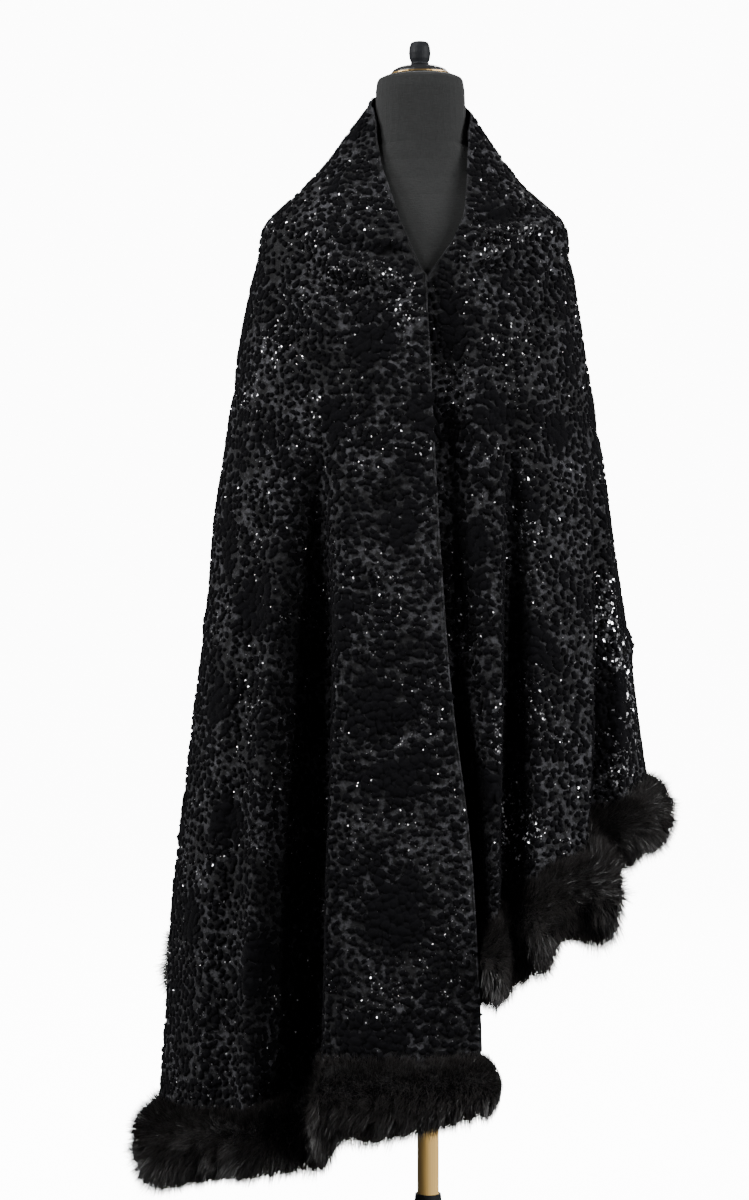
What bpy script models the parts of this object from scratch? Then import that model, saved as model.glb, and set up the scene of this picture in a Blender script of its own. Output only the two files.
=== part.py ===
"""A fur-trimmed cape, worn by a limbless dress form on a turned stand.

Metres, +Z up. The origin is the centre of the base's underside, and the front faces -Y.

The cape is one thin wall of cloth, cut in two halves that meet at the centre back. Every point
of it is found from an azimuth round the body and a height. The azimuth is in degrees: 0 is the
front, 90 the wearer's right, 180 the back and 270 the wearer's left. The wearer's right half lies
on top, so the azimuth runs from the over edge, near 0, round the back, to the under edge past 360.
"""

import math
from collections import namedtuple

import bmesh
import bpy
import numpy as np

MM = 0.001
SEAM_GAP = 0.3 * MM  # left between pieces that are sewn or set together
CLOTH_WALL = 2.0 * MM  # velvet with its pile

# The cape's envelope, an oval with its own reach on each of four sides, row by row down the body.
Section = namedtuple("Section", "height right left front back")
SECTIONS = (
    Section(1.510, 0.0700, 0.0525, 0.050, 0.0596),
    Section(1.489, 0.0710, 0.0530, 0.045, 0.0605),
    Section(1.470, 0.0830, 0.0550, 0.042, 0.0660),
    Section(1.450, 0.0985, 0.0680, 0.044, 0.0760),
    Section(1.412, 0.1240, 0.0950, 0.062, 0.0920),
    Section(1.374, 0.1590, 0.1240, 0.080, 0.1100),
    Section(1.345, 0.1920, 0.1600, 0.094, 0.1210),
    Section(1.329, 0.2100, 0.1765, 0.103, 0.1280),
    Section(1.297, 0.2170, 0.1805, 0.116, 0.1340),
    Section(1.240, 0.2280, 0.1880, 0.130, 0.1380),
    Section(1.105, 0.2510, 0.2100, 0.150, 0.1480),
    Section(0.950, 0.2740, 0.2330, 0.168, 0.1620),
    Section(0.800, 0.2900, 0.2540, 0.186, 0.1800),
    Section(0.640, 0.3110, 0.2775, 0.204, 0.2000),
    Section(0.490, 0.3270, 0.2980, 0.219, 0.2170),
    Section(0.200, 0.3440, 0.3250, 0.238, 0.2400),
)

# The folds are troughs pressed into the envelope. Azimuths and half width are in degrees, depth and
# lean in metres at the hem. A trough opens below starts and is full at full, and lean carries its
# bottom round the body, under the ridge beside it.
Fold = namedtuple("Fold", "azimuth_top azimuth_hem half_width depth starts full lean")
FOLDS = (
    Fold(51.0, 49.0, 8.0, 0.012, 1.20, 0.60, 0.000),  # soft channel down the right front
    Fold(32.4, 32.0, 10.2, 0.092, 1.12, 0.50, -0.012),  # the deep recess beside the centre panel
    Fold(93.0, 95.0, 14.0, 0.066, 1.00, 0.40, 0.000),  # under the right arm
    Fold(132.0, 132.0, 13.5, 0.048, 1.26, 0.50, 0.008),  # four soft folds across the back
    Fold(163.0, 162.0, 12.5, 0.052, 1.32, 0.55, 0.000),
    Fold(196.0, 196.0, 12.0, 0.046, 1.32, 0.55, -0.006),
    Fold(228.0, 228.0, 12.0, 0.044, 1.26, 0.55, 0.000),
    Fold(257.0, 257.0, 9.5, 0.038, 1.05, 0.60, 0.000),  # under the left arm
    Fold(289.0, 319.5, 7.4, 0.050, 1.12, 0.60, 0.004),  # the left front: behind the side panel's edge
    Fold(332.5, 341.0, 5.4, 0.052, 1.18, 0.60, 0.000),  # and the narrow one beside the over edge
)

# Where the cloth begins and ends: the neckline's height, the hem's, and the over edge's azimuth.
Edge = namedtuple("Edge", "azimuth height")
NECKLINE = (
    Edge(0.0, 1.247),
    Edge(4.2, 1.280),
    Edge(7.6, 1.309),
    Edge(13.7, 1.349),
    Edge(20.2, 1.376),
    Edge(32.3, 1.418),
    Edge(44.0, 1.454),
    Edge(62.0, 1.474),
    Edge(85.0, 1.488),
    Edge(120.0, 1.499),
    Edge(180.0, 1.504),
    Edge(240.0, 1.490),
    Edge(266.0, 1.472),
    Edge(290.0, 1.467),
    Edge(314.4, 1.445),
    Edge(330.3, 1.405),
    Edge(342.5, 1.350),
    Edge(349.9, 1.297),
    Edge(361.5, 1.247),
    Edge(376.0, 1.185),
)
OVER_EDGE = (Edge(-10.9, 0.34), Edge(-9.3, 0.56), Edge(-5.0, 0.74), Edge(-2.3, 0.93), Edge(1.5, 1.25))
OVER_EDGE_REACH = 20.0  # the over edge's swing fades out over this much of the front
UNDER_EDGE = 373.0

# The hem's height, and half the height of the fur roll that hangs from it.
Hem = namedtuple("Hem", "azimuth height fur")
HEM = (
    Hem(-12.0, 0.309, 0.035),
    Hem(8.0, 0.306, 0.046),
    Hem(27.0, 0.304, 0.052),
    Hem(36.0, 0.250, 0.048),
    Hem(44.0, 0.230, 0.047),
    Hem(66.0, 0.228, 0.050),
    Hem(80.0, 0.224, 0.060),
    Hem(88.0, 0.246, 0.055),
    Hem(98.0, 0.345, 0.048),
    Hem(107.0, 0.455, 0.046),
    Hem(114.0, 0.484, 0.050),
    Hem(135.0, 0.520, 0.052),
    Hem(180.0, 0.560, 0.052),
    Hem(230.0, 0.595, 0.052),
    Hem(266.0, 0.633, 0.050),
    Hem(284.0, 0.630, 0.048),
    Hem(301.0, 0.620, 0.048),
    Hem(308.0, 0.597, 0.050),
    Hem(314.0, 0.562, 0.054),
    Hem(320.0, 0.548, 0.058),
    Hem(331.0, 0.542, 0.057),
    Hem(339.0, 0.505, 0.057),
    Hem(347.0, 0.465, 0.050),
    Hem(354.0, 0.452, 0.044),
    Hem(376.0, 0.448, 0.044),
)

# The under half steps in beneath the over edge, far enough at the hem for its own fur.
Tuck = namedtuple("Tuck", "height depth")
TUCKS = (Tuck(0.45, 0.076), Tuck(0.80, 0.036), Tuck(1.10, 0.020), Tuck(1.28, 0.009))
TUCK_FROM, TUCK_TO = 344.0, 353.0

# How far the tables' corners are rounded: up and down the body in metres, round it in degrees.
SOFT_HEIGHT = 0.012
SOFT_HEM = 3.0
SOFT_NECK = 2.0
SOFT_OVER_EDGE = 0.05  # metres, as its azimuths are read by height

FOLD_BOTTOM = 0.12  # share of a trough's half width that is its flat bottom
DRIFT_LOW, DRIFT_HIGH = 0.25, 1.15  # heights between which a fold drifts from azimuth_hem to azimuth_top

CLOTH_COLUMNS = 44  # along half the hem
EVEN_ABOVE_HEM = 0.10  # where the columns are evenly spaced
FINE_STEPS = 1500
CENTRE_BACK_CUT = 0.15  # degrees that each half stops short of the centre back
YOKE_ROWS = 7  # from the neckline to below the shoulder's turn
SKIRT_ROWS = 18  # from there to the hem
YOKE_FOOT = 1.285
LEAST_YOKE = 0.02  # under the low front of the neckline

# The fur is a fat roll under the hem.
FUR_HALF_THICKNESS = 0.037
STEEPEST = 0.6  # share of a climb that the roll is fattened for
STEEP_DROP = 6.0  # cloth walls that the roll is lowered by, for each unit of slope
FUR_SIDES = 12
FUR_END = 0.024  # how far the roll passes the front edges
FUR_END_TURNS = (0.45, 0.85, 1.2)  # radians round that end, where its sections stand
HemReach = namedtuple("HemReach", "right left along")
HEM_REACH = HemReach(0.34, 0.31, 0.235)  # the oval that the roll's sections face out from
FUR_SEAMS = (84.0, 300.0)  # where the long back strip meets the two front ones

# The form: half width, and reach to the front and back.
FormRing = namedtuple("FormRing", "height half_width front back")
FORM = (
    FormRing(1.5190, 0.0400, 0.0400, 0.0400),
    FormRing(1.5172, 0.0485, 0.0485, 0.0485),
    FormRing(1.5150, 0.0532, 0.0532, 0.0532),
    FormRing(1.5118, 0.0552, 0.0552, 0.0552),
    FormRing(1.5000, 0.0570, 0.0570, 0.0575),
    FormRing(1.4500, 0.0583, 0.0570, 0.0585),
    FormRing(1.4280, 0.0620, 0.0575, 0.0600),
    FormRing(1.4050, 0.0850, 0.0590, 0.0640),
    FormRing(1.3800, 0.1140, 0.0640, 0.0760),
    FormRing(1.3580, 0.1420, 0.0710, 0.0880),
    FormRing(1.3360, 0.1660, 0.0800, 0.0980),
    FormRing(1.3100, 0.1720, 0.0900, 0.1060),
    FormRing(1.2600, 0.1660, 0.1060, 0.1120),
    FormRing(1.1700, 0.1580, 0.1170, 0.1100),
    FormRing(1.0900, 0.1440, 0.1110, 0.0980),
    FormRing(1.0100, 0.1250, 0.0950, 0.0880),
    FormRing(0.9300, 0.1380, 0.0980, 0.0980),
    FormRing(0.8300, 0.1600, 0.1060, 0.1180),
    FormRing(0.7500, 0.1640, 0.1060, 0.1180),
    FormRing(0.7080, 0.1600, 0.1030, 0.1140),
    FormRing(0.7000, 0.1520, 0.0960, 0.1070),
)
FORM_SIDES = 36
FORM_LEAN = math.radians(0.72)  # the torso leans a little to the wearer's right on its pole

CAP_RADIUS = 0.0370
CAP_RISE = 0.0115
RING_RADIUS = 0.0385
RING_WIRE = 0.0013
FINIAL_RADIUS = 0.0140
FINIAL_HEIGHT = 0.0290

POLE_RADIUS = 0.0138
COLLAR_TOP = 0.090
COLLAR_RADIUS = 0.0166
COLLAR_FOOT = 0.056
BASE_RADIUS = 0.190
BASE_HEIGHT = 0.022


def clear_scene():
    for old in list(bpy.data.objects):
        bpy.data.objects.remove(old, do_unlink=True)


def make_material(name, colour, roughness, metallic=0.0):
    material = bpy.data.materials.new(name)
    material.use_nodes = True
    shader = material.node_tree.nodes["Principled BSDF"]
    shader.inputs["Base Color"].default_value = (*colour, 1.0)
    shader.inputs["Roughness"].default_value = roughness
    shader.inputs["Metallic"].default_value = metallic
    material.diffuse_color = (*colour, 1.0)
    return material


def add_object(name, mesh, material, collection, parent=None):
    made = bpy.data.objects.new(name, mesh)
    mesh.materials.append(material)
    collection.objects.link(made)
    made.parent = parent
    return made


# --- reading the tables -----------------------------------------------------------------------


def read(table, key, value, at):
    """One column of a table, read at any place along another, straight between the rows."""
    rows = sorted(table, key=lambda row: getattr(row, key))
    places = [getattr(row, key) for row in rows]
    values = [getattr(row, value) for row in rows]
    return np.interp(at, places, values)


def read_soft(table, key, value, at, spread):
    """The same, averaged over a short stretch so that it turns smoothly."""
    offsets = np.linspace(-spread, spread, 7)
    return np.mean([read(table, key, value, at + offset) for offset in offsets], axis=0)


def ease(start, end, at):
    """0 before start and 1 after end, with a smooth climb between."""
    share = np.clip((at - start) / (end - start), 0.0, 1.0)
    return share * share * (3.0 - 2.0 * share)


# --- the cape's surface -----------------------------------------------------------------------


def trough(distance):
    """A fold's profile: 1 along its bottom, 0 past its half width, with steep soft sides."""
    return 1.0 - ease(FOLD_BOTTOM, 1.0, np.abs(distance))


def cape_surface(azimuth, height):
    """Points of the cape's outer face, from azimuths in degrees and heights in metres."""
    azimuth, height = np.broadcast_arrays(np.asarray(azimuth, float), np.asarray(height, float))
    turn = np.radians(azimuth)
    sine, cosine = np.sin(turn), np.cos(turn)
    right, left, front, back = (
        read_soft(SECTIONS, "height", side, height, SOFT_HEIGHT) for side in ("right", "left", "front", "back")
    )
    across = np.where(sine > 0.0, right, left)
    along = np.where(cosine > 0.0, front, back)
    x, y = -across * sine, -along * cosine
    out_x, out_y = x / across**2, y / along**2
    length = np.hypot(out_x, out_y)
    out_x, out_y = out_x / length, out_y / length

    depth = np.zeros_like(x)
    slide = np.zeros_like(x)
    for fold in FOLDS:
        grown = 1.0 - ease(fold.full, fold.starts, height)
        drift = ease(DRIFT_LOW, DRIFT_HIGH, height)
        centre = fold.azimuth_hem + (fold.azimuth_top - fold.azimuth_hem) * drift
        pressed = grown * trough((azimuth - centre) / fold.half_width)
        depth += fold.depth * pressed
        slide += fold.lean * pressed
    tuck = read_soft(TUCKS, "height", "depth", height, SOFT_HEIGHT)
    depth += tuck * ease(TUCK_FROM, TUCK_TO, azimuth)

    # A step round the body, in the sense of growing azimuth, is the outward normal turned left.
    around_x, around_y = out_y, -out_x
    x = x - out_x * depth + around_x * slide
    y = y - out_y * depth + around_y * slide
    return np.stack([x, y, height], axis=-1)


def swung(girth, height):
    """The azimuth at some height of the thread that girth names, as the over edge swings across."""
    edge = read_soft(OVER_EDGE, "height", "azimuth", height, SOFT_OVER_EDGE)
    return girth + edge * (1.0 - ease(0.0, OVER_EDGE_REACH, girth))


def even_girths(first, last, count):
    """Girths from first to last, spaced evenly along the cloth a little above the hem."""
    fine = np.linspace(first, last, FINE_STEPS)
    height = hem_height(fine) + EVEN_ABOVE_HEM
    points = cape_surface(swung(fine, height), height)
    steps = np.linalg.norm(np.diff(points[:, :2], axis=0), axis=1)
    walked = np.concatenate([[0.0], np.cumsum(steps)])
    return np.interp(np.linspace(0.0, walked[-1], count + 1), walked, fine)


def hem_height(girth):
    return read_soft(HEM, "azimuth", "height", girth, SOFT_HEM)


def neck_height(girth):
    return read_soft(NECKLINE, "azimuth", "height", girth, SOFT_NECK)


def cloth_points(first, last):
    """Rows of points from the neckline to the hem, for the girths from first to last."""
    girth = even_girths(first, last, CLOTH_COLUMNS)
    if last == 180.0:
        girth[-1] -= CENTRE_BACK_CUT
    if first == 180.0:
        girth[0] += CENTRE_BACK_CUT
    top, bottom = neck_height(girth), hem_height(girth)
    foot = np.minimum(YOKE_FOOT, top - LEAST_YOKE)
    yoke = np.linspace(0.0, 1.0, YOKE_ROWS + 1)[:-1, None]
    skirt = np.linspace(0.0, 1.0, SKIRT_ROWS + 1)[:, None]
    heights = np.vstack([top + (foot - top) * yoke, foot + (bottom - foot) * skirt])
    return cape_surface(swung(girth[None, :], heights), heights)


def sheet_mesh(name, points):
    """A grid of points as an open sheet, whose faces look away from the body."""
    rows, columns = points.shape[:2]
    index = np.arange(rows * columns).reshape(rows, columns).tolist()
    faces = [
        (index[r][c], index[r + 1][c], index[r + 1][c + 1], index[r][c + 1])
        for r in range(rows - 1)
        for c in range(columns - 1)
    ]
    mesh = bpy.data.meshes.new(name)
    mesh.from_pydata(points.reshape(-1, 3).tolist(), [], faces)
    mesh.shade_smooth()
    return mesh


def cape_half(name, first, last, material, collection):
    half = add_object(name, sheet_mesh(name, cloth_points(first, last)), material, collection)
    wall = half.modifiers.new("Wall", "SOLIDIFY")
    wall.thickness = CLOTH_WALL
    wall.offset = -1.0
    return half


# --- the fur ----------------------------------------------------------------------------------


def hem_line(girth):
    """Points of the cloth's lower edge, and the outward direction of the envelope at each."""
    height = hem_height(girth)
    azimuth = swung(girth, height)
    points = cape_surface(azimuth, height)
    turn = np.radians(azimuth)
    across = np.where(np.sin(turn) > 0.0, HEM_REACH.right, HEM_REACH.left)
    out = np.stack([-np.sin(turn) / across, -np.cos(turn) / HEM_REACH.along, np.zeros_like(turn)], axis=-1)
    return points, out / np.linalg.norm(out, axis=1, keepdims=True)


def hem_girths():
    """The girths of the cloth's columns all round the hem, with the centre back seam's two as one."""
    over = even_girths(0.0, 180.0, CLOTH_COLUMNS)
    under = even_girths(180.0, UNDER_EDGE, CLOTH_COLUMNS)
    return np.concatenate([over, under[1:]])


def fur_roll(name, first, last, caps, material, collection):
    """A roll under the hem, between two of the cloth's columns. A cap carries it past a front edge."""
    girths = hem_girths()
    line, _ = hem_line(girths)
    ahead = np.gradient(line, axis=0)
    ahead /= np.linalg.norm(ahead, axis=1, keepdims=True)
    points, out = hem_line(girths[first : last + 1])
    ahead = ahead[first : last + 1]

    # A section stands in the upright plane through the outward direction. Where the hem climbs
    # steeply or runs inward it is made larger, to keep the roll about as fat.
    climb = np.minimum(np.abs(ahead[:, 2]), STEEPEST)
    inward = np.minimum(np.abs(np.sum(ahead * out, axis=1)), STEEPEST)
    tall = read_soft(HEM, "azimuth", "fur", girths[first : last + 1], SOFT_HEM) / np.sqrt(1.0 - climb**2)
    thick = FUR_HALF_THICKNESS / np.sqrt(1.0 - inward**2)
    centres = points - out * (0.5 * CLOTH_WALL)
    # The wall's inner edge lies a little further along the hem than its outer one, where it climbs.
    slope = np.abs(ahead[:, 2]) / np.hypot(ahead[:, 0], ahead[:, 1])
    along_wall = slope * np.abs(np.sum(ahead * out, axis=1))
    centres[:, 2] -= tall + SEAM_GAP + STEEP_DROP * CLOTH_WALL * along_wall
    if "first" not in caps:
        centres[0] += ahead[0] * (0.5 * SEAM_GAP)
    if "last" not in caps:
        centres[-1] -= ahead[-1] * (0.5 * SEAM_GAP)
    sections = [(centres[i], out[i], tall[i], thick[i]) for i in range(len(centres))]
    for cap in caps:
        rounded = []
        end = 0 if cap == "first" else -1
        away = -ahead[0] if cap == "first" else ahead[-1]
        away = np.array([away[0], away[1], 0.0]) / math.hypot(away[0], away[1])
        for turn in FUR_END_TURNS:
            centre = centres[end] + away * FUR_END * math.sin(turn)
            size = math.cos(turn)
            rounded.append((centre, out[end], tall[end] * size, thick[end] * size))
        sections = rounded[::-1] + sections if cap == "first" else sections + rounded
    around = np.linspace(0.0, 2.0 * math.pi, FUR_SIDES, endpoint=False)
    rings = [
        [centre + direction * half * math.cos(t) + np.array([0.0, 0.0, high * math.sin(t)]) for t in around]
        for centre, direction, high, half in sections
    ]
    return add_object(name, ring_mesh(name, rings), material, collection)


def ring_mesh(name, rings):
    """A closed body through rings of equally many points, with a face on each end."""
    made = bmesh.new()
    loops = [[made.verts.new(point) for point in ring] for ring in rings]
    for lower, upper in zip(loops, loops[1:]):
        for i in range(len(lower)):
            j = (i + 1) % len(lower)
            made.faces.new((lower[i], lower[j], upper[j], upper[i]))
    made.faces.new(loops[0][::-1])
    made.faces.new(loops[-1])
    bmesh.ops.recalc_face_normals(made, faces=made.faces)
    mesh = bpy.data.meshes.new(name)
    made.to_mesh(mesh)
    made.free()
    mesh.shade_smooth()
    mesh.set_sharp_from_angle(angle=math.radians(50.0))
    return mesh


# --- the dress form and its stand -------------------------------------------------------------


def form_torso(material, collection, parent):
    """The linen-covered torso and neck, one smooth body. Its own origin is the pole's head."""
    foot = FORM[-1].height
    rings = []
    for row in FORM:
        ring = []
        for step in range(FORM_SIDES):
            turn = 2.0 * math.pi * step / FORM_SIDES
            deep = row.front if math.cos(turn) > 0.0 else row.back
            ring.append((-row.half_width * math.sin(turn), -deep * math.cos(turn), row.height - foot))
        rings.append(ring)
    return add_object("form_torso", ring_mesh("form_torso", rings), material, collection, parent)


def turned(name, profile, sides, material, collection, parent=None):
    """A turned piece: a profile of (radius, height) from the top down, spun round the Z axis."""
    mesh = bpy.data.meshes.new(name)
    points = [(radius, 0.0, height) for radius, height in profile]
    mesh.from_pydata(points, [(i, i + 1) for i in range(len(profile) - 1)], [])
    made = add_object(name, mesh, material, collection, parent)
    spin = made.modifiers.new("Turning", "SCREW")
    spin.axis = "Z"
    spin.steps = sides
    spin.render_steps = sides
    spin.use_merge_vertices = True
    spin.merge_threshold = 0.00001
    spin.use_smooth_shade = True
    return made


def arc(centre_radius, centre_height, radius, start, end, steps):
    """Points of an arc in the profile's plane, with angles in degrees from the outward direction."""
    angles = np.radians(np.linspace(start, end, steps + 1))
    return [
        (centre_radius + radius * math.cos(angle), centre_height + radius * math.sin(angle)) for angle in angles
    ]


def build_head(materials, collection, parent):
    """The cap, its brass ring and the finial, on top of the neck."""
    top = FORM[0].height - FORM[-1].height
    ring = arc(RING_RADIUS, top + SEAM_GAP + RING_WIRE, RING_WIRE, 90.0, -270.0, 6)
    turned("cap_ring", ring, 32, materials["brass"], collection, parent)

    cap_foot = top + 2.0 * SEAM_GAP + 2.0 * RING_WIRE
    dome = [(CAP_RADIUS * math.sin(t), cap_foot + CAP_RISE * math.cos(t)) for t in np.linspace(0.0, 1.45, 7)]
    dome[0] = (0.0, cap_foot + CAP_RISE)
    dome += [(CAP_RADIUS, cap_foot), (CAP_RADIUS - 0.004, top + SEAM_GAP), (0.0, top + SEAM_GAP)]
    turned("neck_cap", dome, 32, materials["cap"], collection, parent)

    foot = cap_foot + CAP_RISE + SEAM_GAP
    barrel = [
        (0.0, FINIAL_HEIGHT),
        (FINIAL_RADIUS * 0.62, FINIAL_HEIGHT),
        (FINIAL_RADIUS * 0.80, FINIAL_HEIGHT * 0.96),
        (FINIAL_RADIUS * 0.95, FINIAL_HEIGHT * 0.76),
        (FINIAL_RADIUS, FINIAL_HEIGHT * 0.50),
        (FINIAL_RADIUS * 0.93, FINIAL_HEIGHT * 0.24),
        (FINIAL_RADIUS * 0.80, FINIAL_HEIGHT * 0.09),
        (FINIAL_RADIUS * 0.84, FINIAL_HEIGHT * 0.05),
        (FINIAL_RADIUS * 0.84, 0.0),
        (0.0, 0.0),
    ]
    barrel = [(radius, foot + height) for radius, height in barrel]
    turned("finial", barrel, 28, materials["painted"], collection, parent)


def build_stand(materials, collection):
    pole_top = FORM[-1].height - SEAM_GAP - POLE_RADIUS * math.sin(FORM_LEAN)
    pole_foot = BASE_HEIGHT + SEAM_GAP
    pole = [(0.0, pole_top), (POLE_RADIUS, pole_top), (POLE_RADIUS, pole_foot), (0.0, pole_foot)]
    turned("pole", pole, 28, materials["wood"], collection)

    bore = POLE_RADIUS + SEAM_GAP
    flare = [(bore, COLLAR_TOP), (COLLAR_RADIUS, COLLAR_TOP)]
    for share in (0.12, 0.3, 0.5, 0.7, 0.86, 0.96):
        radius = COLLAR_RADIUS + (COLLAR_FOOT - COLLAR_RADIUS) * share**1.9
        flare.append((radius, COLLAR_TOP + (pole_foot + 0.006 - COLLAR_TOP) * share))
    flare += [(COLLAR_FOOT, pole_foot + 0.004), (COLLAR_FOOT, pole_foot), (bore, pole_foot), (bore, COLLAR_TOP)]
    turned("pole_collar", flare, 28, materials["painted"], collection)

    edge = 0.006
    base = [(0.0, BASE_HEIGHT), (BASE_RADIUS - 0.016, BASE_HEIGHT)]
    base += arc(BASE_RADIUS - 0.016, BASE_HEIGHT - 0.010, 0.010, 80.0, 40.0, 2)
    base += arc(BASE_RADIUS - edge, edge, edge, 30.0, -90.0, 4)
    base += [(0.0, 0.0)]
    turned("base_disc", base, 44, materials["painted"], collection)


def build():
    clear_scene()
    collection = bpy.data.collections.new("fur_trimmed_cape")
    bpy.context.scene.collection.children.link(collection)
    materials = {
        "velvet": make_material("devore velvet", (0.012, 0.012, 0.014), 0.75),
        "fur": make_material("black fur", (0.012, 0.010, 0.009), 0.9),
        "linen": make_material("grey linen", (0.09, 0.09, 0.095), 0.85),
        "cap": make_material("cap lacquer", (0.015, 0.015, 0.017), 0.4),
        "brass": make_material("brass", (0.62, 0.40, 0.14), 0.3, 1.0),
        "painted": make_material("grey paint", (0.05, 0.05, 0.055), 0.4),
        "wood": make_material("pale wood", (0.62, 0.44, 0.25), 0.5),
    }

    cape_half("cape_over_half", 0.0, 180.0, materials["velvet"], collection)
    cape_half("cape_under_half", 180.0, UNDER_EDGE, materials["velvet"], collection)

    fur = materials["fur"]
    right_seam, left_seam = (int(np.argmin(np.abs(hem_girths() - seam))) for seam in FUR_SEAMS)
    fur_roll("fur_over_end", 0, right_seam, ("first",), fur, collection)
    fur_roll("fur_back", right_seam, left_seam, (), fur, collection)
    fur_roll("fur_under_end", left_seam, 2 * CLOTH_COLUMNS, ("last",), fur, collection)

    leaning = bpy.data.objects.new("leaning", None)
    leaning.location = (0.0, 0.0, FORM[-1].height)
    leaning.rotation_euler = (0.0, -FORM_LEAN, 0.0)
    collection.objects.link(leaning)
    form_torso(materials["linen"], collection, leaning)
    build_head(materials, collection, leaning)
    build_stand(materials, collection)


build()
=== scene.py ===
# %% [markdown]
# # A fur-trimmed velvet cape on a dress form
#
# The real cape is one large rounded wrap of burnt-out velvet. Acid has eaten its silk pile away
# between small round spots, so black tufts stand on a thin, slightly shiny grey ground. A fat strip
# of black fur is sewn round its hem. A limbless dress form on a turned stand wears it, the wearer's
# right front lapped over the left one. The solids are loaded first, and all that follows is laid on
# them.

# %% Load the solids
import math
from collections import namedtuple

import bpy
import numpy as np
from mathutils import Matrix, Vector


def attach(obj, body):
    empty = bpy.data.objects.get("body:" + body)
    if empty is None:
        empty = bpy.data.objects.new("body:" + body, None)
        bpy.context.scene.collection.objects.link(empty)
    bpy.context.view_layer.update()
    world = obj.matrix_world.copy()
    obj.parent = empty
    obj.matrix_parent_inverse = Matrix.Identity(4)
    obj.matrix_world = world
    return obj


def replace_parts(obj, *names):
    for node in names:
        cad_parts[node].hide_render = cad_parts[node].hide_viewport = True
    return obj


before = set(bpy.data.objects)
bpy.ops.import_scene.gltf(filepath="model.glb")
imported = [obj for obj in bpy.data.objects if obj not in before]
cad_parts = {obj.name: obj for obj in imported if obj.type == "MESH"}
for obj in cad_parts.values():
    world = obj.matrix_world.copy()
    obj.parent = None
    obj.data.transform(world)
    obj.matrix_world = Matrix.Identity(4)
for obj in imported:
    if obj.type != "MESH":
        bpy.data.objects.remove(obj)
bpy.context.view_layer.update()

MM = 0.001
print("solids:", sorted(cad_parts))

# %% Tables


def table(columns, *rows):
    """Rows whose values are read by the names of their columns."""
    named = namedtuple("Row", columns)
    return [named(*row) for row in rows]


print("a table's row reads like", table("azimuth height", (0.0, 1.247))[0])

# %% [markdown]
# ## Camera, floor and light
#
# A garment this dark is photographed against white, square on, from a few metres back. The camera
# stands level with the middle of the cape and a little to one side, as the nearly straight sides of
# the pole show. The large lamps stand well round to the sides, so that the deep folds stay black and
# their edges turn pale, and two smaller ones in front give the thin ground its glints. A photographer
# lets the paper behind the garment burn out to white without letting that light fall on it, or black
# velvet would look grey. The sky and the floor do the same here: what a camera sees of them is
# bright, and what they give is dim.

# %% Camera
CAMERA_AT = (-0.0685, -3.6, 0.849)
LENS_MM = 84.4

camera_data = bpy.data.cameras.new("camera")
camera_data.lens = LENS_MM
camera_data.sensor_width = 36.0
camera = bpy.data.objects.new("camera", camera_data)
camera.location = CAMERA_AT
camera.rotation_euler = (math.radians(90.0), 0.0, 0.0)
bpy.context.scene.collection.objects.link(camera)
bpy.context.scene.camera = camera
print("camera", CAMERA_AT, "lens", LENS_MM)

# %% Floor and surroundings
FLOOR_REACH = 40.0

floor_mesh = bpy.data.meshes.new("floor")
floor_corners = [(x * FLOOR_REACH, y * FLOOR_REACH, 0.0) for x, y in ((-1, -1), (1, -1), (1, 1), (-1, 1))]
floor_mesh.from_pydata(floor_corners, [], [(0, 1, 2, 3)])
floor = bpy.data.objects.new("floor", floor_mesh)
bpy.context.scene.collection.objects.link(floor)

SEEN_WHITE = 12.0
SKY_GIVES = 0.14

world = bpy.data.worlds.new("studio")
world.use_nodes = True
sky = world.node_tree
seen = sky.nodes.new("ShaderNodeLightPath").outputs["Is Camera Ray"]
strength = sky.nodes.new("ShaderNodeMapRange")
strength.inputs["To Min"].default_value = SKY_GIVES
strength.inputs["To Max"].default_value = SEEN_WHITE
sky.links.new(seen, strength.inputs["Value"])
sky.links.new(strength.outputs["Result"], sky.nodes["Background"].inputs["Strength"])
sky.nodes["Background"].inputs["Color"].default_value = (1.0, 1.0, 1.0, 1.0)
bpy.context.scene.world = world

# %% Lamps
LAMPS = table(
    "name at size watts",
    ("soft_left", (-3.2, -1.0, 2.5), 1.2, 155.0),
    ("soft_right", (3.1, -1.3, 2.2), 1.1, 175.0),
    ("high_left", (-2.3, -1.6, 3.9), 0.7, 110.0),
    ("low_right", (2.6, -3.0, 1.2), 0.4, 60.0),
    ("soft_back", (0.5, 3.4, 3.0), 1.6, 130.0),
)
LAMPS_AIM = Vector((0.0, 0.0, 1.0))

for lamp in LAMPS:
    data = bpy.data.lights.new(lamp.name, "AREA")
    data.size = lamp.size
    data.energy = lamp.watts
    light = bpy.data.objects.new(lamp.name, data)
    light.location = lamp.at
    light.rotation_euler = (LAMPS_AIM - Vector(lamp.at)).to_track_quat("-Z", "Y").to_euler()
    bpy.context.scene.collection.objects.link(light)
print(len(LAMPS), "lamps")

# %% [markdown]
# ## Writing a finish as sums
#
# Each finish is a set of shader nodes. Writing them one by one hides the idea behind the wiring, so
# two small classes let a finish be read as arithmetic. A Wire stands for a socket, and a sum on it
# adds the Math node that works it out. A Finish is the material, and its one method adds any other
# node.

# %% Wires and finishes


class Wire:
    """An output socket that can stand in sums, so that 1 - mask adds its own Math node."""

    def __init__(self, finish, socket):
        self.finish = finish
        self.socket = socket

    def maths(self, operation, *values):
        return self.finish.node("ShaderNodeMath", {"operation": operation}, dict(enumerate(values)))

    def __add__(self, other):
        return self.maths("ADD", self, other)

    __radd__ = __add__

    def __mul__(self, other):
        return self.maths("MULTIPLY", self, other)

    __rmul__ = __mul__

    def __sub__(self, other):
        return self.maths("SUBTRACT", self, other)

    def __rsub__(self, other):
        return self.maths("SUBTRACT", other, self)


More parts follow.
